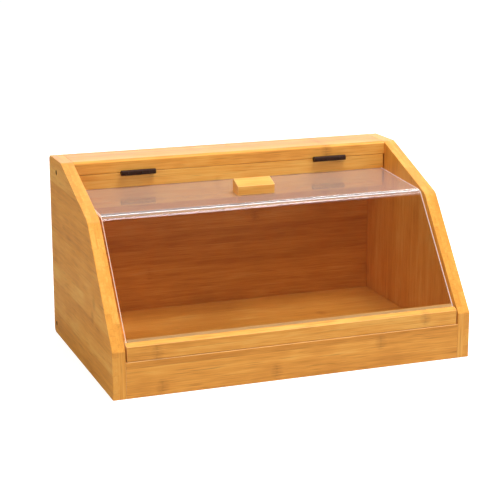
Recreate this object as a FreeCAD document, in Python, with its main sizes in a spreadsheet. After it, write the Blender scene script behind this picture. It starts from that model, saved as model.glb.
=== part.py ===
import FreeCAD, Part
import Sketcher
import os

# Countertop bread box in bamboo, with a clear bent lid that lifts on two butt hinges.
# Millimetres. X runs across the box, Y from the front to the back, Z up.
# The origin lies on the ground, in the middle of the footprint; the front faces -Y.

doc = FreeCAD.newDocument("BreadBox")
sheet = doc.addObject("Spreadsheet::Sheet", "Sizes")

sizes = [
    # outer size and side panels
    ("width", 400, "outside, across both side panels"),
    ("depth", 250, "front edge to rear edge of the side panels"),
    ("height", 206, "ground to the top of the rail and panels"),
    ("side_thickness", 14, "side panel"),
    ("nose_height", 50, "upright front edge of a side panel"),
    ("knee_back", 87.4, "knee of the side panel, behind the front"),
    ("knee_drop", 40.2, "knee of the side panel, below the top"),
    ("shoulder_lag", 4, "shoulder stands this far behind the front of the rail"),
    ("knee_radius", 14, "rounding of the knee"),
    ("shoulder_radius", 8, "rounding of the shoulder"),
    ("nose_radius", 1.5, "rounding of the nose top"),
    ("heel_radius", 6, "rounding of the rear corners of the panels and the rail"),
    ("arris", 0.6, "eased edges of every board"),
    # fixed boards
    ("front_height", 38.5, "lower front board"),
    ("front_thickness", 14, "lower front board"),
    ("front_brow", 1.2, "rounding of the lower front board's upper front edge"),
    ("back_thickness", 14, "back panel"),
    ("base_thickness", 12, "base board"),
    ("base_rise", 6.3, "underside of the base board above the ground"),
    ("rail_depth", 58, "top rail, front to back"),
    ("rail_lip", 14.5, "thin front and rear parts of the top rail"),
    ("rail_block", 29, "thick middle part of the top rail"),
    ("rail_slope", 2, "front edge of the rail's top, below the top"),
    # lid woodwork
    ("bar_thickness", 14, "hinge bar"),
    ("bar_height", 40, "hinge bar"),
    ("bar_gap", 0.3, "hinge bar to the rail above it"),
    ("bar_back_gap", 2, "hinge bar to the rail block behind it"),
    ("end_gap", 1.5, "lid woodwork to each side panel"),
    ("strip_gap", 0.3, "bottom strip of the lid to the front board"),
    ("strip_depth", 14, "bottom strip"),
    ("strip_nose", 15, "front face of the bottom strip"),
    ("strip_rise", 4.2, "bevel above the front face"),
    ("strip_bevel", 8.5, "bevel, front to back"),
    ("strip_setback", 0.8, "front face of the strip, behind that of the front board"),
    ("wood_arris", 0.5, "eased edges of the lid woodwork"),
    # clear cover
    ("cover_thickness", 3, "bent clear sheet"),
    ("cover_gap", 3, "sheet edge to each side panel"),
    ("bend_back", 92, "bend of the outer surface, behind the front"),
    ("bend_drop", 37.5, "bend of the outer surface, below the rail's top"),
    ("bend_radius", 8, "inside radius of the bend"),
    ("seat_front", 7.5, "outer surface at the strip's top, behind the front"),
    ("seat_drop", 16.2, "outer surface at the bar's face, below the bar's top"),
    ("kerf_front", 8, "depth of the groove in the strip"),
    ("kerf_back", 6, "depth of the groove in the bar"),
    ("kerf_clearance", 0.1, "sheet to each wall of its groove"),
    ("kerf_floor", 0.3, "sheet edge to the floor of its groove"),
    # knob
    ("knob_width", 43, "across"),
    ("knob_setback", 32, "knob behind the bend, along the sheet"),
    ("knob_depth", 18, "front to back at the sheet"),
    ("knob_front", 10.3, "height of the front face"),
    ("knob_back", 15.5, "height near the back"),
    ("knob_chamfer", 2.5, "chamfer at the top of the back"),
    ("knob_edge", 0.8, "rounded edges"),
    # hinges
    ("hinge_inset", 71.5, "middle of a hinge from the side panel"),
    ("hinge_length", 39, "along the pin"),
    ("knuckles", 5, "knuckles on a hinge, an odd number"),
    ("knuckle_gap", 0.3, "between two knuckles"),
    ("barrel_radius", 3, "outside of a knuckle"),
    ("barrel_gap", 0.3, "knuckle to the wood behind it"),
    ("pin_radius", 1.2, "hinge pin"),
    ("pin_clearance", 0.05, "pin in a knuckle, radial"),
    ("leaf_thickness", 1, "leaf, let in flush"),
    ("leaf_depth", 12, "leaf, from the front of the wood"),
    ("leaf_clearance", 0.1, "leaf to the ends and back of its recess"),
    ("leaf_screw_back", 7.5, "screws, from the front of the wood"),
    ("leaf_screw_pitch", 13, "screw to screw along a leaf"),
    ("leaf_screw_radius", 1.25, "shank"),
    ("leaf_head_radius", 2.4, "countersunk head"),
    ("leaf_screw_length", 10, "overall"),
    # knob screws
    ("knob_screw_pitch", 24, "screw to screw"),
    ("knob_screw_radius", 1.5, "shank"),
    ("knob_head_radius", 2.8, "pan head"),
    ("knob_head_height", 1.8, "pan head"),
    ("knob_screw_bite", 7, "length inside the knob"),
    # case screws
    ("case_screw_radius", 2, "shank"),
    ("case_head_radius", 2.35, "cylindrical head"),
    ("case_head_height", 2, "cylindrical head"),
    ("case_screw_sink", 4, "head below the panel's face"),
    ("case_screw_bite", 24, "length past the panel's inner face"),
    ("case_bore_radius", 2.5, "bore over the head"),
    ("rail_screw_back", 25, "rail screw, behind the front of the rail"),
    ("base_screw_lead", 11.2, "base screw, in front of the rear edge"),
    # dowels
    ("dowel_radius", 3, "glued dowel"),
    ("dowel_length", 28, "glued dowel"),
    ("dowel_in_side", 9, "length inside a side panel"),
    ("dowel_spread", 16, "dowel to dowel in the front board"),
    ("back_dowel_spread", 90, "dowel to dowel in the back panel"),
    ("base_dowel_lead", 60, "base dowel, behind the front"),
    ("glue_gap", 0.05, "radial room round dowels and screws"),
    ("hole_floor", 0.5, "room past the end of a dowel or screw"),
    ("tip_length", 2, "taper at the end of a screw"),
    ("dowel_tip", 0.8, "chamfer at the ends of a dowel"),
]
for row, (alias, value, note) in enumerate(sizes, 1):
    sheet.set("A%d" % row, alias)
    sheet.set("B%d" % row, str(value))
    sheet.set("C%d" % row, note)
    sheet.setAlias("B%d" % row, alias)
doc.recompute()

nodes = []


def value(text):
    """Number that an expression gives now."""
    return float(sheet.evalExpression(text))


def bind(item, **properties):
    """Tie properties to expressions; double underscores stand for dots."""
    for name, text in properties.items():
        item.setExpression(name.replace("__", "."), text)


def keep(item, label):
    """Mark an object as a finished piece."""
    item.Label = label
    nodes.append(item)
    return item


def plane(body, role):
    return [item for item in body.Origin.OriginFeatures if item.Role == role][0]


def draw(sketch, corners):
    """Closed outline through corners, each a pair of expressions."""
    at = [FreeCAD.Vector(value(right), value(up), 0) for right, up in corners]
    count = len(corners)
    for i in range(count):
        sketch.addGeometry(Part.LineSegment(at[i], at[(i + 1) % count]))
    for i in range(count):
        sketch.addConstraint(Sketcher.Constraint("Coincident", i, 2, (i + 1) % count, 1))
    for i in range(count):
        for kind, number, text in (("DistanceX", at[i].x, corners[i][0]),
                                   ("DistanceY", at[i].y, corners[i][1])):
            index = sketch.addConstraint(Sketcher.Constraint(kind, -1, 1, i, 1, number))
            sketch.setExpression("Constraints[%d]" % index, text)


def round_edges(body, spots, radius):
    """Round the edges along X that pass through the given (y, z) spots."""
    base = body.Tip
    doc.recompute()
    names = []
    for spot in spots:
        y, z = value(spot[0]), value(spot[1])
        for index, edge in enumerate(base.Shape.Edges, 1):
            ends = [vertex.Point for vertex in edge.Vertexes]
            if all(abs(point.y - y) < 0.01 and abs(point.z - z) < 0.01 for point in ends):
                names.append("Edge%d" % index)
    fillet = body.newObject("PartDesign::Fillet", body.Name + "_round")
    fillet.Base = (base, names)
    bind(fillet, Radius=radius)
    doc.recompute()


def ease_all(body, radius):
    base = body.Tip
    doc.recompute()
    fillet = body.newObject("PartDesign::Fillet", body.Name + "_ease")
    fillet.Base = (base, [""])
    fillet.UseAllEdges = True
    bind(fillet, Radius=radius)


def profile_body(name, corners, start, length):
    """Board or bar along X, from an outline of (behind the front, above the ground)."""
    body = doc.addObject("PartDesign::Body", name)
    sketch = body.newObject("Sketcher::SketchObject", name + "_outline")
    sketch.AttachmentSupport = [(plane(body, "YZ_Plane"), "")]
    sketch.MapMode = "FlatFace"
    draw(sketch, corners)
    pad = body.newObject("PartDesign::Pad", name + "_pad")
    pad.Profile = sketch
    bind(pad, Length=length)
    bind(body, Placement__Base__x=start, Placement__Base__y="-Sizes.depth / 2")
    return body


def turned_body(name, corners, turn):
    """Round piece about its own Z axis, from a half outline of (radius, along the axis)."""
    body = doc.addObject("PartDesign::Body", name)
    sketch = body.newObject("Sketcher::SketchObject", name + "_half")
    sketch.AttachmentSupport = [(plane(body, "XZ_Plane"), "")]
    sketch.MapMode = "FlatFace"
    draw(sketch, corners)
    spin = body.newObject("PartDesign::Revolution", name + "_turned")
    spin.Profile = sketch
    spin.ReferenceAxis = (sketch, ["V_Axis"])
    spin.Angle = 360
    body.Placement = FreeCAD.Placement(FreeCAD.Vector(0, 0, 0), turn)
    return body


def place(item, x, y, z):
    bind(item, Placement__Base__x=x, Placement__Base__y=y, Placement__Base__z=z)


def drill(name, radius, length, turn, x, y, z):
    """Cylinder used to cut a hole, from a point along a direction."""
    tool = doc.addObject("Part::Cylinder", name)
    tool.Placement = FreeCAD.Placement(FreeCAD.Vector(0, 0, 0), turn)
    bind(tool, Radius=radius, Height=length)
    place(tool, x, y, z)
    return tool


def block(name, length, width, height, x, y, z):
    box = doc.addObject("Part::Box", name)
    bind(box, Length=length, Width=width, Height=height)
    place(box, x, y, z)
    return box


def join(name, pieces):
    fuse = doc.addObject("Part::MultiFuse", name)
    fuse.Shapes = pieces
    return fuse


def carve(label, base, tools):
    cut = doc.addObject("Part::Cut", label + "_cut")
    cut.Base = base
    cut.Tool = join(label + "_tools", tools) if len(tools) > 1 else tools[0]
    return keep(cut, label)


X_AXIS = FreeCAD.Vector(1, 0, 0)
TO_RIGHT = FreeCAD.Rotation(FreeCAD.Vector(0, 1, 0), 90)
TO_LEFT = FreeCAD.Rotation(FreeCAD.Vector(0, 1, 0), -90)
UP = FreeCAD.Rotation()
DOWN = FreeCAD.Rotation(X_AXIS, 180)

# Places that several pieces share. F is the front plane's Y; heights are above the ground.
F = "-Sizes.depth / 2"
inner_half = "(Sizes.width / 2 - Sizes.side_thickness)"
inner_width = "(Sizes.width - 2 * Sizes.side_thickness)"
lid_half = "(%s - Sizes.end_gap)" % inner_half
lid_width = "(%s - 2 * Sizes.end_gap)" % inner_width
rail_front = "(Sizes.depth - Sizes.rail_depth)"
rail_under = "(Sizes.height - Sizes.rail_lip)"
block_under = "(Sizes.height - Sizes.rail_block)"
block_front = "(%s + Sizes.bar_thickness + Sizes.bar_back_gap)" % rail_front
back_face = "(Sizes.depth - Sizes.back_thickness)"
base_top = "(Sizes.base_rise + Sizes.base_thickness)"
bar_top = "(%s - Sizes.bar_gap)" % rail_under
bar_under = "(%s - Sizes.bar_height)" % bar_top
strip_under = "(Sizes.front_height + Sizes.strip_gap)"
strip_brow = "(%s + Sizes.strip_nose)" % strip_under
strip_top = "(%s + Sizes.strip_rise)" % strip_brow
shoulder = "(%s + Sizes.shoulder_lag)" % rail_front
knee_up = "(Sizes.height - Sizes.knee_drop)"

# ---- Side panels ---------------------------------------------------------------------
# Each panel steps back in two slopes from a low nose to the rail; both are mirror images.
panel_outline = [
    ("0", "0"),
    ("Sizes.depth", "0"),
    ("Sizes.depth", "Sizes.height"),
    (shoulder, "Sizes.height"),
    ("Sizes.knee_back", knee_up),
    ("0", "Sizes.nose_height"),
]
base_middle = "(Sizes.base_rise + Sizes.base_thickness / 2)"
back_under = base_top
back_middle = "((%s + %s) / 2)" % (back_under, rail_under)
case_screws = [
    ("rail", "(%s + Sizes.rail_screw_back)" % rail_front, "(Sizes.height - Sizes.rail_block / 2)"),
    ("base", "(Sizes.depth - Sizes.base_screw_lead)", base_middle),
]
front_middle = "(Sizes.front_thickness / 2)"
rear_middle = "(Sizes.depth - Sizes.back_thickness / 2)"
dowels = [
    ("front_lower", "front", front_middle, "(Sizes.front_height / 2 - Sizes.dowel_spread / 2)"),
    ("front_upper", "front", front_middle, "(Sizes.front_height / 2 + Sizes.dowel_spread / 2)"),
    ("back_lower", "back", rear_middle, "(%s - Sizes.back_dowel_spread / 2)" % back_middle),
    ("back_upper", "back", rear_middle, "(%s + Sizes.back_dowel_spread / 2)" % back_middle),
    ("base", "base", "Sizes.base_dowel_lead", base_middle),
]
# Holes that each board gets from its screws and dowels are gathered here by board.
holes = {"front": [], "back": [], "base": [], "rail": []}
dowel_hole = "Sizes.dowel_radius + Sizes.glue_gap"
screw_hole = "Sizes.case_screw_radius + Sizes.glue_gap"

for side, sign, inward in (("left", "-1", TO_RIGHT), ("right", "1", TO_LEFT)):
    start = "-Sizes.width / 2" if side == "left" else inner_half
    body = profile_body(side + "_panel", panel_outline, start, "Sizes.side_thickness")
    round_edges(body, [(shoulder, "Sizes.height")], "Sizes.shoulder_radius")
    round_edges(body, [("Sizes.knee_back", knee_up)], "Sizes.knee_radius")
    round_edges(body, [("Sizes.depth", "0"), ("Sizes.depth", "Sizes.height")],
                "Sizes.heel_radius")
    round_edges(body, [("0", "Sizes.nose_height")], "Sizes.nose_radius")
    ease_all(body, "Sizes.arris")
    outer = "%s * Sizes.width / 2" % sign
    inner = "%s * %s" % (sign, inner_half)
    tools = []
    for spot, back, up in case_screws:
        name = "%s_%s_screw" % (side, spot)
        y = "%s + %s" % (F, back)
        tools.append(drill(name + "_bore", "Sizes.case_bore_radius",
                           "Sizes.case_screw_sink + Sizes.case_head_height", inward,
                           outer, y, up))
        tools.append(drill(name + "_hole", screw_hole, "Sizes.side_thickness", inward,
                           outer, y, up))
        holes[spot].append(drill(name + "_pilot", screw_hole,
                                 "Sizes.case_screw_bite + Sizes.hole_floor", inward,
                                 inner, y, up))
        # Screw with a cylindrical head, its head's top at the local origin.
        reach = "(Sizes.side_thickness - Sizes.case_screw_sink + Sizes.case_screw_bite)"
        screw = turned_body(name, [
            ("0", "0"),
            ("Sizes.case_head_radius", "0"),
            ("Sizes.case_head_radius", "Sizes.case_head_height"),
            ("Sizes.case_screw_radius", "Sizes.case_head_height"),
            ("Sizes.case_screw_radius", "%s - Sizes.tip_length" % reach),
            ("Sizes.case_screw_radius / 3", reach),
            ("0", reach),
        ], inward)
        place(screw, "%s - %s * Sizes.case_screw_sink" % (outer, sign), y, up)
        keep(screw, name)
    for spot, board, back, up in dowels:
        name = "%s_%s_dowel" % (side, spot)
        y = "%s + %s" % (F, back)
        inset = "%s + %s * (Sizes.dowel_in_side" % (inner, sign)
        tools.append(drill(name + "_socket", dowel_hole,
                           "Sizes.dowel_in_side + Sizes.hole_floor", inward,
                           inset + " + Sizes.hole_floor)", y, up))
        holes[board].append(drill(name + "_hole", dowel_hole,
                                  "Sizes.dowel_length - Sizes.dowel_in_side + Sizes.hole_floor",
                                  inward, inner, y, up))
        pin = turned_body(name, [
            ("0", "0"),
            ("Sizes.dowel_radius - Sizes.dowel_tip", "0"),
            ("Sizes.dowel_radius", "Sizes.dowel_tip"),
            ("Sizes.dowel_radius", "Sizes.dowel_length - Sizes.dowel_tip"),
            ("Sizes.dowel_radius - Sizes.dowel_tip", "Sizes.dowel_length"),
            ("0", "Sizes.dowel_length"),
        ], inward)
        place(pin, inset + ")", y, up)
        keep(pin, name)
    carve(side + "_side_panel", body, tools)

# ---- Fixed boards between the panels -------------------------------------------------
front = profile_body("front", [
    ("0", "0"),
    ("Sizes.front_thickness", "0"),
    ("Sizes.front_thickness", "Sizes.front_height"),
    ("0", "Sizes.front_height"),
], "-" + inner_half, inner_width)
round_edges(front, [("0", "Sizes.front_height")], "Sizes.front_brow")
ease_all(front, "Sizes.arris")
carve("front_board", front, holes["front"])

# The base runs from the front board to the rear; the back panel stands on it.
base = profile_body("base", [
    ("Sizes.front_thickness", "Sizes.base_rise"),
    ("Sizes.depth", "Sizes.base_rise"),
    ("Sizes.depth", base_top),
    ("Sizes.front_thickness", base_top),
], "-" + inner_half, inner_width)
ease_all(base, "Sizes.arris")
carve("base_board", base, holes["base"])

back = profile_body("back", [
    (back_face, back_under),
    ("Sizes.depth", back_under),
    ("Sizes.depth", rail_under),
    (back_face, rail_under),
], "-" + inner_half, inner_width)
ease_all(back, "Sizes.arris")
carve("back_panel", back, holes["back"])

# The top rail is rebated at the front for the hinge bar and at the rear for the back panel,
# and its top falls to the front as the panels do.
rail = profile_body("rail", [
    (rail_front, rail_under),
    (block_front, rail_under),
    (block_front, block_under),
    (back_face, block_under),
    (back_face, rail_under),
    ("Sizes.depth", rail_under),
    ("Sizes.depth", "Sizes.height"),
    (shoulder, "Sizes.height"),
    (rail_front, "(Sizes.height - Sizes.rail_slope)"),
], "-" + inner_half, inner_width)
round_edges(rail, [("Sizes.depth", "Sizes.height")], "Sizes.heel_radius")
ease_all(rail, "Sizes.arris")

# ---- Lid woodwork --------------------------------------------------------------------
bar = profile_body("bar", [
    (rail_front, bar_under),
    ("(%s + Sizes.bar_thickness)" % rail_front, bar_under),
    ("(%s + Sizes.bar_thickness)" % rail_front, bar_top),
    (rail_front, bar_top),
], "-" + lid_half, lid_width)
ease_all(bar, "Sizes.wood_arris")

strip = profile_body("strip", [
    ("Sizes.strip_setback", strip_under),
    ("Sizes.strip_depth", strip_under),
    ("Sizes.strip_depth", strip_top),
    ("Sizes.strip_bevel", strip_top),
    ("Sizes.strip_setback", strip_brow),
], "-" + lid_half, lid_width)
ease_all(strip, "Sizes.wood_arris")

# ---- Clear cover ---------------------------------------------------------------------
# Its outer surface runs from the strip (P0) up to the bend (P1) and back to the bar (P2).
# a1 and a2 are the slopes of the two flats; c and s their cosines and sines.
P0 = ("Sizes.seat_front", strip_top)
P1 = ("Sizes.bend_back", "(Sizes.height - Sizes.bend_drop)")
P2 = (rail_front, "(%s - Sizes.seat_drop)" % bar_top)
a1 = "atan2(%s - %s; %s - %s)" % (P1[1], P0[1], P1[0], P0[0])
a2 = "atan2(%s - %s; %s - %s)" % (P2[1], P1[1], P2[0], P1[0])
c1, s1 = "cos(%s)" % a1, "sin(%s)" % a1
c2, s2 = "cos(%s)" % a2, "sin(%s)" % a2
front_in = "(Sizes.kerf_front - Sizes.kerf_floor)"
back_in = "(Sizes.kerf_back - Sizes.kerf_floor)"
edge0 = ("(%s - %s * %s)" % (P0[0], front_in, c1), "(%s - %s * %s)" % (P0[1], front_in, s1))
edge2 = ("(%s + %s * %s)" % (P2[0], back_in, c2), "(%s + %s * %s)" % (P2[1], back_in, s2))
half_sum = "((%s + %s) / 2)" % (a1, a2)
mitre = "(Sizes.cover_thickness / cos((%s - %s) / 2))" % (a1, a2)
inner_bend = ("%s + %s * sin(%s)" % (P1[0], mitre, half_sum),
              "%s - %s * cos(%s)" % (P1[1], mitre, half_sum))
cover_half = "(%s - Sizes.cover_gap)" % inner_half
cover = profile_body("cover", [
    edge0,
    P1,
    edge2,
    ("%s + Sizes.cover_thickness * %s" % (edge2[0], s2),
     "%s - Sizes.cover_thickness * %s" % (edge2[1], c2)),
    inner_bend,
    ("%s + Sizes.cover_thickness * %s" % (edge0[0], s1),
     "%s - Sizes.cover_thickness * %s" % (edge0[1], c1)),
], "-" + cover_half, "2 * " + cover_half)
round_edges(cover, [inner_bend], "Sizes.bend_radius")
round_edges(cover, [P1], "Sizes.bend_radius + Sizes.cover_thickness")


def groove(name, slope, at, cosine, sine, below, above):
    """Slot for the sheet, tilted with it; below and above are along the sheet."""
    slot = doc.addObject("Part::Box", name)
    slot.Placement = FreeCAD.Placement(FreeCAD.Vector(0, 0, 0), FreeCAD.Rotation(X_AXIS, 1))
    bind(slot, Length="Sizes.width", Width="Sizes.cover_thickness + 2 * Sizes.kerf_clearance",
         Height="%s + %s" % (below, above), Placement__Rotation__Angle="%s - 90 deg" % slope)
    place(slot, "-Sizes.width / 2",
          "%s + %s - Sizes.kerf_clearance * %s - %s * %s" % (F, at[0], sine, below, cosine),
          "%s + Sizes.kerf_clearance * %s - %s * %s" % (at[1], cosine, below, sine))
    return slot


strip_slot = groove("strip_slot", a1, P0, c1, s1, "Sizes.kerf_front", "Sizes.strip_depth")
carve("lid_bottom_strip", strip, [strip_slot])
bar_slot = groove("bar_slot", a2, P2, c2, s2, "Sizes.cover_thickness", "Sizes.kerf_back")

# ---- Knob ----------------------------------------------------------------------------
# Block on the upper flat, drawn from its front lower edge with Y along the sheet.
knob_foot = ("(%s + Sizes.knob_setback * %s)" % (P1[0], c2),
             "(%s + Sizes.knob_setback * %s)" % (P1[1], s2))
knob = doc.addObject("PartDesign::Body", "knob_block")
knob_sketch = knob.newObject("Sketcher::SketchObject", "knob_outline")
knob_sketch.AttachmentSupport = [(plane(knob, "YZ_Plane"), "")]
knob_sketch.MapMode = "FlatFace"
draw(knob_sketch, [
    ("0", "0"),
    ("Sizes.knob_depth", "0"),
    ("Sizes.knob_depth", "Sizes.knob_back - Sizes.knob_chamfer"),
    ("Sizes.knob_depth - Sizes.knob_chamfer * 0.8", "Sizes.knob_back"),
    ("0", "Sizes.knob_front"),
])
knob_pad = knob.newObject("PartDesign::Pad", "knob_pad")
knob_pad.Profile = knob_sketch
bind(knob_pad, Length="Sizes.knob_width")
ease_all(knob, "Sizes.knob_edge")
knob.Placement = FreeCAD.Placement(FreeCAD.Vector(0, 0, 0), FreeCAD.Rotation(X_AXIS, 1))
bind(knob, Placement__Rotation__Angle=a2)
place(knob, "-Sizes.knob_width / 2", "%s + %s" % (F, knob_foot[0]), knob_foot[1])

cover_holes = []
knob_holes = []
for side, sign in (("left", "-1"), ("right", "1")):
    name = "knob_screw_" + side
    x = "%s * Sizes.knob_screw_pitch / 2" % sign
    middle = "Sizes.knob_depth / 2"
    head = "(Sizes.cover_thickness + Sizes.knob_head_height)"
    # Axis square to the sheet; the head bears on its underside.
    reach = "(%s + Sizes.knob_screw_bite)" % head
    y = "%s + %s + %s * %s + %s * %s" % (F, knob_foot[0], middle, c2, head, s2)
    z = "%s + %s * %s - %s * %s" % (knob_foot[1], middle, s2, head, c2)
    screw = turned_body(name, [
        ("0", "0"),
        ("Sizes.knob_head_radius", "0"),
        ("Sizes.knob_head_radius", "Sizes.knob_head_height"),
        ("Sizes.knob_screw_radius", "Sizes.knob_head_height"),
        ("Sizes.knob_screw_radius", "%s - Sizes.tip_length" % reach),
        ("Sizes.knob_screw_radius / 3", reach),
        ("0", reach),
    ], FreeCAD.Rotation(X_AXIS, 1))
    bind(screw, Placement__Rotation__Angle=a2)
    place(screw, x, y, z)
    keep(screw, name)
    for store, radius in ((cover_holes, "Sizes.knob_screw_radius + 2 * Sizes.glue_gap"),
                          (knob_holes, "Sizes.knob_screw_radius + Sizes.glue_gap")):
        tool = drill("%s_hole_%d" % (name, len(knob_holes) + len(cover_holes)), radius,
                     reach + " + Sizes.hole_floor", FreeCAD.Rotation(X_AXIS, 1), x, y, z)
        bind(tool, Placement__Rotation__Angle=a2)
        store.append(tool)
carve("clear_cover", cover, cover_holes)
carve("knob", knob, knob_holes)

# ---- Hinges --------------------------------------------------------------------------
# The pin stands in front of the wood, level with the gap between the bar and the rail.
# The fixed leaf is let into the rail's underside, the moving leaf into the bar's top.
pin_back = "(%s - Sizes.barrel_radius - Sizes.barrel_gap)" % rail_front
pin_y = "%s + %s" % (F, pin_back)
pin_z = "(%s - Sizes.bar_gap / 2)" % rail_under
leaf_y = "%s + %s" % (F, rail_front)
rail_tools = list(holes["rail"])
bar_tools = [bar_slot]
pitch = "((Sizes.hinge_length + Sizes.knuckle_gap) / Sizes.knuckles)"
knuckle_long = "(%s - Sizes.knuckle_gap)" % pitch
neck = "(Sizes.barrel_radius + Sizes.barrel_gap)"

for side, sign in (("left", "-1"), ("right", "1")):
    centre = "(%s * (%s - Sizes.hinge_inset))" % (sign, inner_half)
    start = "(%s - Sizes.hinge_length / 2)" % centre
    leaf_under = {"fixed": rail_under, "moving": "(%s - Sizes.leaf_thickness)" % bar_top}
    for role, first in (("fixed", 0), ("moving", 1)):
        name = "%s_hinge_%s" % (side, role)
        low = leaf_under[role]
        parts = [block(name + "_plate", "Sizes.hinge_length", "Sizes.leaf_depth",
                       "Sizes.leaf_thickness", start, leaf_y, low)]
        for i in range(first, int(value("Sizes.knuckles")), 2):
            x = "%s + %d * %s" % (start, i, pitch)
            parts.append(drill("%s_knuckle_%d" % (name, i), "Sizes.barrel_radius",
                               knuckle_long, TO_RIGHT, x, pin_y, pin_z))
            parts.append(block("%s_neck_%d" % (name, i), knuckle_long, neck,
                               "Sizes.leaf_thickness", x, pin_y, low))
        tools = [drill(name + "_pin_bore", "Sizes.pin_radius + Sizes.pin_clearance",
                       "Sizes.hinge_length", TO_RIGHT, start, pin_y, pin_z)]
        for i in (-1, 0, 1):
            # Countersunk screw: up into the rail, or down into the bar.
            x = "%s + %d * Sizes.leaf_screw_pitch" % (centre, i)
            y = "%s + Sizes.leaf_screw_back" % leaf_y
            z = low if role == "fixed" else bar_top
            turn = UP if role == "fixed" else DOWN
            screw_name = "%s_screw_%d" % (name, i + 2)
            screw = turned_body(screw_name, [
                ("0", "0"),
                ("Sizes.leaf_head_radius", "0"),
                ("Sizes.leaf_screw_radius", "Sizes.leaf_thickness"),
                ("Sizes.leaf_screw_radius", "Sizes.leaf_screw_length - Sizes.tip_length"),
                ("Sizes.leaf_screw_radius / 3", "Sizes.leaf_screw_length"),
                ("0", "Sizes.leaf_screw_length"),
            ], turn)
            place(screw, x, y, z)
            keep(screw, screw_name)
            sink = doc.addObject("Part::Cone", screw_name + "_sink")
            sink.Placement = FreeCAD.Placement(FreeCAD.Vector(0, 0, 0), turn)
            bind(sink, Radius1="Sizes.leaf_head_radius + Sizes.glue_gap",
                 Radius2="Sizes.leaf_screw_radius + Sizes.glue_gap",
                 Height="Sizes.leaf_thickness")
            place(sink, x, y, z)
            tools.append(sink)
            wood = rail_tools if role == "fixed" else bar_tools
            wood.append(drill(screw_name + "_pilot", "Sizes.leaf_screw_radius + Sizes.glue_gap",
                              "Sizes.leaf_screw_length + Sizes.hole_floor", turn, x, y, z))
        carve(name + "_leaf", join(name + "_blank", parts), tools)
        recess = block(name + "_recess",
                       "Sizes.hinge_length + 2 * Sizes.leaf_clearance",
                       "Sizes.leaf_depth + Sizes.leaf_clearance + Sizes.arris",
                       "Sizes.leaf_thickness + Sizes.arris",
                       "%s - Sizes.leaf_clearance" % start,
                       "%s - Sizes.arris" % leaf_y,
                       low if role == "moving" else "%s - Sizes.arris" % low)
        (rail_tools if role == "fixed" else bar_tools).append(recess)
    pin = turned_body(side + "_hinge_pin", [
        ("0", "0"),
        ("Sizes.pin_radius", "0"),
        ("Sizes.pin_radius", "Sizes.hinge_length"),
        ("0", "Sizes.hinge_length"),
    ], TO_RIGHT)
    place(pin, start, pin_y, pin_z)
    keep(pin, side + "_hinge_pin")

carve("top_rail", rail, rail_tools)
carve("hinge_bar", bar, bar_tools)

# ---- Check and export ----------------------------------------------------------------
doc.recompute()
failed = [item.Name for item in doc.Objects
          if "Invalid" in item.State or "Error" in item.State]
if failed:
    raise RuntimeError("failed features: " + ", ".join(failed))
for item in nodes:
    if item.Shape.isNull() or not item.Shape.isValid():
        raise RuntimeError("bad shape: " + item.Label)
    if len(item.Shape.Solids) != 1:
        raise RuntimeError("not one solid: " + item.Label)
os.makedirs("parts", exist_ok=True)
for item in nodes:
    item.Shape.exportStep("parts/%s.step" % item.Label)
    print("%-34s volume %10.1f" % (item.Label, item.Shape.Volume))
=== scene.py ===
import bpy
import math
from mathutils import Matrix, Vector

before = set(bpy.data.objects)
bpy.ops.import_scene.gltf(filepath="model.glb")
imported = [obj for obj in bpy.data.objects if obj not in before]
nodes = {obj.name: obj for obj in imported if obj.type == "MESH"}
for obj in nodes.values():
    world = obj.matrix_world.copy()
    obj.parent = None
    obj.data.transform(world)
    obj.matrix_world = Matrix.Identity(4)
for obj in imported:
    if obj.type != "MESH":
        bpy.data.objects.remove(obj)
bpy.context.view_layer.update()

# ---- Studio ----------------------------------------------------------------------------
# A table-top studio with a white floor and surround. A soft lamp hangs overhead, a narrow rim
# lamp stands behind, and a fill stands on each side in front.
scene = bpy.context.scene
scene.view_settings.view_transform = "Standard"

# A long lens about 1.7 m away, turned 20 degrees to the box's front and looking down by 14.
camera_data = bpy.data.cameras.new("product_camera")
camera_data.sensor_width = 36.0
camera_data.lens = 108.24
camera_data.clip_end = 100.0
camera = bpy.data.objects.new("product_camera", camera_data)
camera.location = (-0.56857, -1.50091, 0.52140)
camera.rotation_euler = (math.radians(75.55), 0.0, math.radians(-20.51))
scene.collection.objects.link(camera)
scene.camera = camera


def linear(code):
    """Linear RGBA from an sRGB hex colour."""
    parts = [int(code[i:i + 2], 16) / 255 for i in (1, 3, 5)]
    return [c / 12.92 if c <= 0.04045 else ((c + 0.055) / 1.055) ** 2.4 for c in parts] + [1.0]


def add(tree, kind, inputs=(), **settings):
    """Add a node, set it, and fill or link its inputs by name or number. A node given as an
    input is linked by its first output."""
    made = tree.nodes.new(kind)
    for key, setting in settings.items():
        setattr(made, key, setting)
    for key, source in inputs.items() if isinstance(inputs, dict) else enumerate(inputs):
        if isinstance(source, bpy.types.Node):
            source = source.outputs[0]
        if isinstance(source, bpy.types.NodeSocket):
            tree.links.new(source, made.inputs[key])
        else:
            made.inputs[key].default_value = source
    return made


def new_material(name):
    """Empty node material and its output."""
    material = bpy.data.materials.new(name)
    material.use_nodes = True
    material.node_tree.nodes.clear()
    return material, material.node_tree, add(material.node_tree, "ShaderNodeOutputMaterial")


# Mix has its factor at 0, two numbers at 2 and 3, and two colours at 6 and 7. Map Range has its
# value at 0, the old limits at 1 and 2, and the new ones at 3 and 4.
MATH, MIX, RANGE = "ShaderNodeMath", "ShaderNodeMix", "ShaderNodeMapRange"

world = bpy.data.worlds.new("studio")
world.use_nodes = True
scene.world = world
sky = world.node_tree
sky.nodes.clear()
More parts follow.
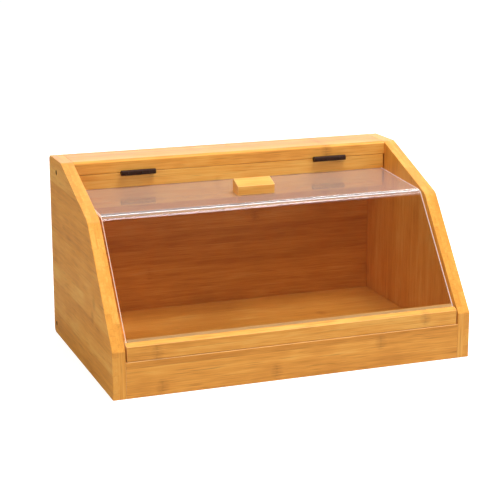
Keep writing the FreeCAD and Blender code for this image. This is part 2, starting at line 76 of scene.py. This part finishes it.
# Strengths, where 1 is white: the room's light on the box, and what gloss sees of the dark room
# in front, the pale backdrop behind and the overhead lamp's cloth.
room_light, dark_room, pale_backdrop, lamp_cloth = 0.34, 0.05, 0.62, 2.4
path = add(sky, "ShaderNodeLightPath")
direction = add(sky, "ShaderNodeTexCoord").outputs["Generated"]
toward = add(sky, "ShaderNodeSeparateXYZ", [direction])
back, high = toward.outputs["Y"], toward.outputs["Z"]
# Rays that come off gloss see the backdrop fall to the dark room towards the front. Above they see
# the wide cloth in place of the lamp itself: it has a crisp front edge and a soft rear one.
backdrop = add(sky, RANGE, {0: back, 1: -0.1, 2: 0.45, 3: dark_room, 4: pale_backdrop},
               interpolation_type="SMOOTHSTEP")
front_edge = add(sky, RANGE, {0: back, 1: -0.36, 2: -0.3, 3: 0.0, 4: lamp_cloth})
rear_edge = add(sky, RANGE, {0: back, 1: 0.1, 2: 0.3, 3: 1.0, 4: 0.0})
overhead = add(sky, RANGE, {0: high, 1: 0.6, 2: 0.7})
cloth = add(sky, MATH, [front_edge, rear_edge], operation="MULTIPLY")
cloth = add(sky, MATH, [cloth, overhead], operation="MULTIPLY")
mirrored = add(sky, MATH, [backdrop, cloth], operation="ADD")
# The camera sees plain white, also through the sheet. Matt surfaces get the room's light, and
# rays that come off gloss get what is worked out above.
seen = add(sky, MATH, [path.outputs["Is Camera Ray"], path.outputs["Is Transmission Ray"]],
           operation="MAXIMUM")
plain = add(sky, MIX, {0: seen, 2: room_light, 3: 1.0})
bounced = add(sky, MATH, [path.outputs["Glossy Depth"], 0.5], operation="GREATER_THAN")
level = add(sky, MIX, {0: bounced, 2: plain, 3: mirrored})
glow = add(sky, "ShaderNodeBackground", {"Color": linear("#FFFFFF"), "Strength": level})
add(sky, "ShaderNodeOutputWorld", [glow])

bpy.ops.object.select_all(action="DESELECT")
bpy.ops.mesh.primitive_circle_add(vertices=96, radius=14.0, fill_type="NGON")
floor = bpy.context.object
floor.name = "studio_floor"
# Matt white paint: it takes the box's soft shadow and is lifted to white for the camera.
paint, tree, output = new_material("matt_white_floor")
rays = add(tree, "ShaderNodeLightPath")
# Gloss sees the floor dimmer, as a table in a dark room.
again = add(tree, MATH, [rays.outputs["Glossy Depth"], 0.5], operation="GREATER_THAN")
tone = add(tree, MIX, {0: again, 6: linear("#D0D0D0"), 7: linear("#5C5C5C")}, data_type="RGBA")
matt = add(tree, "ShaderNodeBsdfDiffuse", {"Color": tone.outputs[2]})
look = add(tree, MATH, [rays.outputs["Is Camera Ray"], rays.outputs["Is Transmission Ray"]],
           operation="MAXIMUM")
none = add(tree, "ShaderNodeEmission", {"Strength": 0.0})
lift = add(tree, "ShaderNodeEmission", {"Color": linear("#FFFFFF"), "Strength": 0.8})
shown = add(tree, "ShaderNodeMixShader", [look, none, lift])
both = add(tree, "ShaderNodeAddShader", [matt, shown])
tree.links.new(both.outputs[0], output.inputs[0])
floor.data.materials.append(paint)

for name, place, width, depth, watts, tint in (
        ("overhead_strip", (0.45, -0.36, 1.9), 1.5, 0.5, 40.0, "#FFFCF6"),
        ("rim_strip", (0.6, 1.45, 0.95), 1.4, 0.12, 7.0, "#FFFCF6"),
        ("right_fill", (1.7, -1.5, 0.7), 1.2, 1.2, 11.0, "#FFF9F0"),
        ("left_fill", (-2.2, -1.1, 0.7), 1.2, 1.2, 18.5, "#FFF9F0")):
    lamp_data = bpy.data.lights.new(name, "AREA")
    lamp_data.shape = "RECTANGLE"
    lamp_data.size = width
    lamp_data.size_y = depth
    lamp_data.energy = watts
    lamp_data.color = linear(tint)[:3]
    lamp = bpy.data.objects.new(name, lamp_data)
    lamp.location = place
    aim = Vector((0.0, 0.0, 0.1)) - Vector(place)
    lamp.rotation_euler = aim.to_track_quat("-Z", "Y").to_euler()
    # The overhead lamp is kept out of reflections, where its cloth stands in for it.
    lamp.visible_glossy = name != "overhead_strip"
    scene.collection.objects.link(lamp)

# ---- Side panels -----------------------------------------------------------------------
# Boards of carbonised bamboo: flat strips glued side by side and in layers, sanded and lacquered
# satin. Each panel has two crossed plies, with the outer ply's strips running front to back and
# the inner ply's upright. The case screws are sunk in its bores.

# sizes in mm
strip_width = 19.0
strip_thickness = 4.7
counted_from = 500.0        # strips and layers are numbered from this far off the origin
bore_edge = 2.55            # wall of a screw bore, from its middle
bore_shade_end = 2.9           # where the painted shade round the bore ends
case_bores = [(92.0, 191.5), (113.8, 12.3)]
ply_joint = 193.0           # joint of a panel's two plies, from the middle of the box


def bamboo(name, along, across, thick, seed, knots=(), shift=0.0, crossed=None, pale=0.0,
           bores=(), painted_arris_highlight=False):
    """Lacquered carbonised bamboo: warm strips of uneven tone, dark fibres and a satin gloss.
    along is the grain; knots lists culm nodes as (along, across) in mm; shift moves the strips
    across the board, in mm; pale lightens the whole board. In a board of two crossed plies the
    grain turns where the thickness coordinate is nearer than crossed. bores lists drilled holes
    whose walls and a thin ring round them get painted shade, near-black. The last switch paints
    a pale highlight on the eased arrises of a square board."""
    material, tree, output = new_material(name)
    space = add(tree, "ShaderNodeTexCoord")
    mm = add(tree, "ShaderNodeVectorMath", [space.outputs["Object"], (1000.0, 1000.0, 1000.0)],
             operation="MULTIPLY")
    place = add(tree, "ShaderNodeSeparateXYZ", [mm])
    facing = add(tree, "ShaderNodeSeparateXYZ", [space.outputs["Normal"]])
    g, w, d = (place.outputs[letter] for letter in (along, across, thick))
    ends = facing.outputs[along]
    flat = add(tree, "ShaderNodeCombineXYZ", {0: g, 1: w})
    if crossed is not None:
        depth = add(tree, MATH, [d], operation="ABSOLUTE")
        inner = add(tree, MATH, [depth, crossed], operation="LESS_THAN")
        g, w = add(tree, MIX, {0: inner, 2: g, 3: w}), add(tree, MIX, {0: inner, 2: w, 3: g})
        ends = add(tree, MIX, {0: inner, 2: ends, 3: facing.outputs[across]})
    # strip and layer numbers, and a tone of its own for each strip
    strip = add(tree, MATH, [w, 1 / strip_width, (shift + counted_from) / strip_width],
                operation="MULTIPLY_ADD")
    layer = add(tree, MATH, [d, 1 / strip_thickness, counted_from / strip_thickness],
                operation="MULTIPLY_ADD")
    cell = add(tree, "ShaderNodeCombineXYZ", {
        0: add(tree, MATH, [strip], operation="FLOOR"),
        1: add(tree, MATH, [layer], operation="FLOOR"), 2: float(seed)})
    tone = add(tree, "ShaderNodeTexWhiteNoise", {"Vector": cell})
    # Fibres run along the grain: soft bands 5 mm apart, hair lines under 1 mm apart, a few
    # short dashes a millimetre wide, and clouds of tone 50 mm long and 30 mm across. Each strip
    # starts its fibres at a place of its own.
    start = add(tree, "ShaderNodeCombineXYZ", {
        0: add(tree, MATH, [tone, 900.0], operation="MULTIPLY")})
    flow = add(tree, "ShaderNodeCombineXYZ", [g, w, d])
    bands, hairs, dashes, clouds = (
        add(tree, "ShaderNodeTexNoise", {
            "Vector": add(tree, "ShaderNodeVectorMath", [flow, size, start],
                          operation="MULTIPLY_ADD"),
            "Scale": 1.0, "Detail": detail, "Roughness": 0.55})
        for size, detail in (((0.0055, 0.2, 0.2), 3.0), ((0.03, 1.2, 1.2), 2.0),
                             ((0.03, 0.75, 0.75), 1.0), ((0.02, 0.035, 0.035), 2.0)))
    # The cut ends of the fibres are more even in tone.
    even = add(tree, MATH, [ends, ends], operation="MULTIPLY")
    even = add(tree, MATH, [even, -0.55, 1.0], operation="MULTIPLY_ADD")
    # Bands, hair lines and clouds add up to a streak that is nought on average.
    streak = add(tree, MATH, [bands, 0.6, -0.3], operation="MULTIPLY_ADD")
    streak = add(tree, MATH, [hairs, 0.65, streak], operation="MULTIPLY_ADD")
    streak = add(tree, MATH, [clouds, 0.5, streak], operation="MULTIPLY_ADD")
    streak = add(tree, MATH, [streak, 0.575], operation="SUBTRACT")
    shade = add(tree, MATH, [tone, 0.2, 0.4 + pale], operation="MULTIPLY_ADD")
    shade = add(tree, MATH, [streak, even, shade], operation="MULTIPLY_ADD")
    # from the darkest fibre through honey to the palest strip
    colour = add(tree, "ShaderNodeValToRGB", [shade])
    ramp = colour.color_ramp
    ramp.elements[0].position = 0.2
    ramp.elements[0].color = linear("#CC842F")
    ramp.elements[1].position = 0.8
    ramp.elements[1].color = linear("#F1BA5E")
    middle = ramp.elements.new(0.5)
    middle.color = linear("#E69E40")
    # glue lines: 0.8 mm between strips and 0.6 mm between layers, wider than real so they show
    lines = []
    for number, starts, darkness in ((strip, 0.48, 0.2), (layer, 0.44, 0.09)):
        side = add(tree, MATH, [number], operation="FRACT")
        side = add(tree, MATH, [side, 0.5], operation="SUBTRACT")
        side = add(tree, MATH, [side], operation="ABSOLUTE")
        lines.append(add(tree, RANGE, [side, starts, 0.5, 0.0, darkness]))
    line = add(tree, MATH, lines, operation="MAXIMUM")
    dash = add(tree, RANGE, [dashes, 0.6, 0.8, 0.0, 0.5])
    stain = add(tree, MATH, [dash, even], operation="MULTIPLY")
    stain = add(tree, MATH, [stain, line], operation="MAXIMUM")
    # culm nodes: a soft brown smudge 17 mm long across one strip, with a ragged outline and a
    # faint bowed ring
    half_length, half_width, ragged = 8.5, 9.5, 9.0
    for a, b in knots:
        away = add(tree, MATH, [g, a], operation="SUBTRACT")
        away = add(tree, MATH, [hairs, ragged, away], operation="MULTIPLY_ADD")
        away = add(tree, MATH, [away, ragged / 2], operation="SUBTRACT")
        reach = add(tree, MATH, [w, 1 / half_width, -b / half_width], operation="MULTIPLY_ADD")
        bow = add(tree, MATH, [reach, reach], operation="MULTIPLY")
        ring = add(tree, MATH, [bow, 3.0, away], operation="MULTIPLY_ADD")
        ring = add(tree, MATH, [ring], operation="ABSOLUTE")
        ring = add(tree, RANGE, [ring, 0.0, 1.6, 0.16, 0.0])
        near = add(tree, MATH, [away, 1 / half_length], operation="MULTIPLY")
        near = add(tree, MATH, [near, near], operation="MULTIPLY")
        near = add(tree, MATH, [bow, 0.8, near], operation="MULTIPLY_ADD")
        patch = add(tree, RANGE, [near, 0.0, 1.0, 1.0, 0.0], interpolation_type="SMOOTHSTEP")
        mark = add(tree, MATH, [dashes, 0.5, ring], operation="MULTIPLY_ADD")
        mottle = add(tree, RANGE, [hairs, 0.35, 0.65, 1.5, 0.5])
        for factor in (mottle, patch, even):
            mark = add(tree, MATH, [mark, factor], operation="MULTIPLY")
        stain = add(tree, MATH, [stain, mark], operation="MAXIMUM")
    final = add(tree, MIX, {0: stain, 6: colour, 7: linear("#8A4A12")}, data_type="RGBA")
    # Painted highlight: the arrises, where the normal leans off all three axes, are coloured pale
    # cream for light caught on the eased edges.
    if painted_arris_highlight:
        tilt = add(tree, "ShaderNodeVectorMath", [space.outputs["Normal"]], operation="ABSOLUTE")
        tilt = add(tree, "ShaderNodeSeparateXYZ", [tilt])
        square = add(tree, MATH, [tilt.outputs["Y"], tilt.outputs["Z"]], operation="MAXIMUM")
        square = add(tree, MATH, [square, tilt.outputs["X"]], operation="MAXIMUM")
        arris_highlight_mask = add(tree, RANGE, [square, 0.75, 0.85, 0.75, 0.0])
        final = add(tree, MIX, {0: arris_highlight_mask, 6: final.outputs[2], 7: linear("#FFE0A8")},
                    data_type="RGBA")
    # Painted shade: each bore's wall and a thin ring round it are coloured near-black, for the
    # shade inside the bore.
    for a, b in bores:
        radius = add(tree, "ShaderNodeVectorMath", [flat, (a, b, 0.0)], operation="DISTANCE")
        painted_bore_shade = add(tree, RANGE, [radius.outputs["Value"], bore_edge, bore_shade_end, 1.0, 0.0])
        final = add(tree, MIX, {0: painted_bore_shade, 6: final.outputs[2], 7: linear("#1E1009")},
                    data_type="RGBA")
    # The lacquer follows fibres and glue lines in a relief under 0.1 mm deep.
    relief = add(tree, MATH, [line, -4.0, hairs], operation="MULTIPLY_ADD")
    bump = add(tree, "ShaderNodeBump", {"Strength": 0.3, "Distance": 0.0001, "Height": relief})
    satin = add(tree, MATH, [bands, 0.12, 0.36], operation="MULTIPLY_ADD")
    lacquered = add(tree, "ShaderNodeBsdfPrincipled", {
        "Base Color": final.outputs[2], "Roughness": satin, "IOR": 1.5, "Normal": bump})
    tree.links.new(lacquered.outputs[0], output.inputs[0])
    return material


def dress(name, material):
    """Give a CAD piece its finish."""
    piece = nodes[name]
    piece.data.materials.clear()
    piece.data.materials.append(material)


dress("left_side_panel", bamboo("bamboo_left_panel", "Y", "Z", "X", 3,
                                [(-58.0, 84.0), (-50.0, 65.0)], shift=6.0, crossed=ply_joint,
                                bores=case_bores))
dress("right_side_panel", bamboo("bamboo_right_panel", "Y", "Z", "X", 8,
                                 [(40.0, 110.0), (-30.0, 48.0)], crossed=ply_joint,
                                 bores=case_bores))

# ---- Fixed boards ----------------------------------------------------------------------
# Front, base, back and top rail are the same bamboo with the strips lying across the box. Glued
# dowels hold the front, the back and the base between the panels, and screws the base and rail.
dress("front_board", bamboo("bamboo_front_board", "X", "Z", "Y", 11,
                            [(94.5, 28.7), (-24.0, 10.0), (-148.0, 9.0)], shift=0.5,
                            pale=-0.12, painted_arris_highlight=True))
dress("base_board", bamboo("bamboo_base", "X", "Y", "Z", 17, [(-60.0, -30.0), (90.0, 25.0)]))
# The back panel is made darker, a painted shade of the box's inside.
dress("back_panel", bamboo("bamboo_back", "X", "Z", "Y", 23, [(40.0, 120.0), (-90.0, 60.0)],
                           pale=-0.1))
dress("top_rail", bamboo("bamboo_rail", "X", "Z", "Y", 29, [(112.0, 200.0)], shift=-4.0,
                         pale=-0.1))

# ---- Lid woodwork ----------------------------------------------------------------------
# Hinge bar, bottom strip and knob are planed from the same bamboo and lightly eased. The bar
# and the strip are grooved for the clear sheet, and the knob is screwed to it from below.
# The hinge bar is made paler, painted light for the light it gets through the sheet.
dress("hinge_bar", bamboo("bamboo_hinge_bar", "X", "Z", "Y", 31, [(-20.0, 170.0)], pale=0.15))
dress("lid_bottom_strip", bamboo("bamboo_strip", "X", "Z", "Y", 37,
                                 [(-152.6, 46.0), (147.0, 49.0)], shift=4.0, painted_arris_highlight=True))
dress("knob", bamboo("bamboo_knob", "X", "Y", "Z", 41, pale=0.1, painted_arris_highlight=True))

# ---- Clear cover -----------------------------------------------------------------------
# One cast acrylic sheet, 3 mm thick and faintly grey, heat-bent once. Its faces are polished.
# The sawn edges are frosted and carry a painted glow, an emission of their own, so they
# show as white lines.
clear, tree, output = new_material("cast_acrylic_sheet")
polished = add(tree, "ShaderNodeBsdfPrincipled", {
    "Base Color": linear("#E2DFE3"), "Roughness": 0.0, "IOR": 1.49, "Transmission Weight": 1.0})
# Painted glow: the frosted edge shader emits light although the edge is no lamp.
frosted_edge_painted_glow = add(tree, "ShaderNodeBsdfPrincipled", {
    "Base Color": linear("#FFFBFF"), "Roughness": 0.3, "IOR": 1.49,
    "Emission Color": linear("#FFF4EC"), "Emission Strength": 0.45})
normal = add(tree, "ShaderNodeTexCoord").outputs["Normal"]
facing = add(tree, "ShaderNodeSeparateXYZ", [normal])
edge = add(tree, MATH, [facing], operation="ABSOLUTE")
edge = add(tree, MATH, [edge, 0.7], operation="GREATER_THAN")
sheet = add(tree, "ShaderNodeMixShader", [edge, polished, frosted_edge_painted_glow])
# The upper flat's top carries a painted reflection: a pale diffuse veil at a tenth of full cover.
painted_reflection_veil = add(tree, "ShaderNodeBsdfDiffuse", {"Color": linear("#FFEDE8")})
painted_reflection_mask = add(tree, RANGE, {0: facing.outputs["Z"], 1: 0.97, 2: 0.995, 3: 0.0, 4: 0.1})
sheet = add(tree, "ShaderNodeMixShader", [painted_reflection_mask, sheet, painted_reflection_veil])
# Light from the lamps and bounced light pass straight through, and keep 87 % at each face.
rays = add(tree, "ShaderNodeLightPath")
passing = add(tree, MATH, [rays.outputs["Is Shadow Ray"], rays.outputs["Is Diffuse Ray"]],
              operation="MAXIMUM")
through = add(tree, "ShaderNodeBsdfTransparent", {"Color": (0.87, 0.87, 0.87, 1.0)})
result = add(tree, "ShaderNodeMixShader", [passing, sheet, through])
tree.links.new(result.outputs[0], output.inputs[0])
dress("clear_cover", clear)

# ---- Hinges ----------------------------------------------------------------------------
# Small butt hinges of pressed steel, let into the rail and the hinge bar and electro-coated
# black: a thin even paint with a soft sheen and an orange peel about 1 mm across.
black, tree, output = new_material("black_coated_steel")
spot = add(tree, "ShaderNodeTexCoord").outputs["Object"]
peel = add(tree, "ShaderNodeTexNoise", {"Vector": spot, "Scale": 900.0, "Detail": 2.0})
skin = add(tree, "ShaderNodeBump", {"Strength": 0.25, "Distance": 0.00006, "Height": peel})
worn = add(tree, RANGE, {0: peel, 3: 0.4, 4: 0.55})
tint = add(tree, "ShaderNodeValToRGB", [peel])
tint.color_ramp.elements[0].color = linear("#24120A")
tint.color_ramp.elements[1].color = linear("#3A1D10")
coat = add(tree, "ShaderNodeBsdfPrincipled", {
    "Base Color": tint, "Roughness": worn, "Specular IOR Level": 0.3, "Normal": skin})
tree.links.new(coat.outputs[0], output.inputs[0])
for name in nodes:
    if "_hinge_" in name and "screw" not in name:
        dress(name, black)

# ---- Screws and dowels -----------------------------------------------------------------
# The case screws are hardened steel, black phosphated and matt; the knob screws are dull zinc
# plate, and the hinge screws match the hinges. Dowels are beech with a plain sanded surface.
for title, dark, light, low, high in (("black_phosphate", "#1B1410", "#2C211A", 0.5, 0.7),
                                      ("dull_zinc_plate", "#6F6E6B", "#A09E99", 0.3, 0.55)):
    metal, tree, output = new_material(title)
    spot = add(tree, "ShaderNodeTexCoord").outputs["Object"]
    # mottled at 1 to 2 mm
    grain = add(tree, "ShaderNodeTexNoise", {"Vector": spot, "Scale": 700.0, "Detail": 3.0})
    rough = add(tree, RANGE, {0: grain, 3: low, 4: high})
    tint = add(tree, "ShaderNodeValToRGB", [grain])
    tint.color_ramp.elements[0].color = linear(dark)
    tint.color_ramp.elements[1].color = linear(light)
    plate = add(tree, "ShaderNodeBsdfPrincipled", {
        "Base Color": tint, "Roughness": rough, "Metallic": 1.0})
    tree.links.new(plate.outputs[0], output.inputs[0])
    for name in nodes:
        if "screw" in name and "_hinge_" not in name:
            if ("knob" in name) == (title == "dull_zinc_plate"):
                dress(name, metal)

# beech fibres about 17 mm long and 1 mm wide
beech, tree, output = new_material("sanded_beech")
spot = add(tree, "ShaderNodeTexCoord").outputs["Object"]
longways = add(tree, "ShaderNodeVectorMath", [spot, (60.0, 900.0, 900.0)], operation="MULTIPLY")
grain = add(tree, "ShaderNodeTexNoise", {"Vector": longways, "Scale": 1.0, "Detail": 2.0})
tint = add(tree, "ShaderNodeValToRGB", [grain])
tint.color_ramp.elements[0].color = linear("#C49A6C")
tint.color_ramp.elements[1].color = linear("#E2C49A")
wood = add(tree, "ShaderNodeBsdfPrincipled", {"Base Color": tint, "Roughness": 0.6})
tree.links.new(wood.outputs[0], output.inputs[0])
for name in nodes:
    if "_hinge_" in name and "screw" in name:
        dress(name, black)
    if "dowel" in name:
        dress(name, beech)
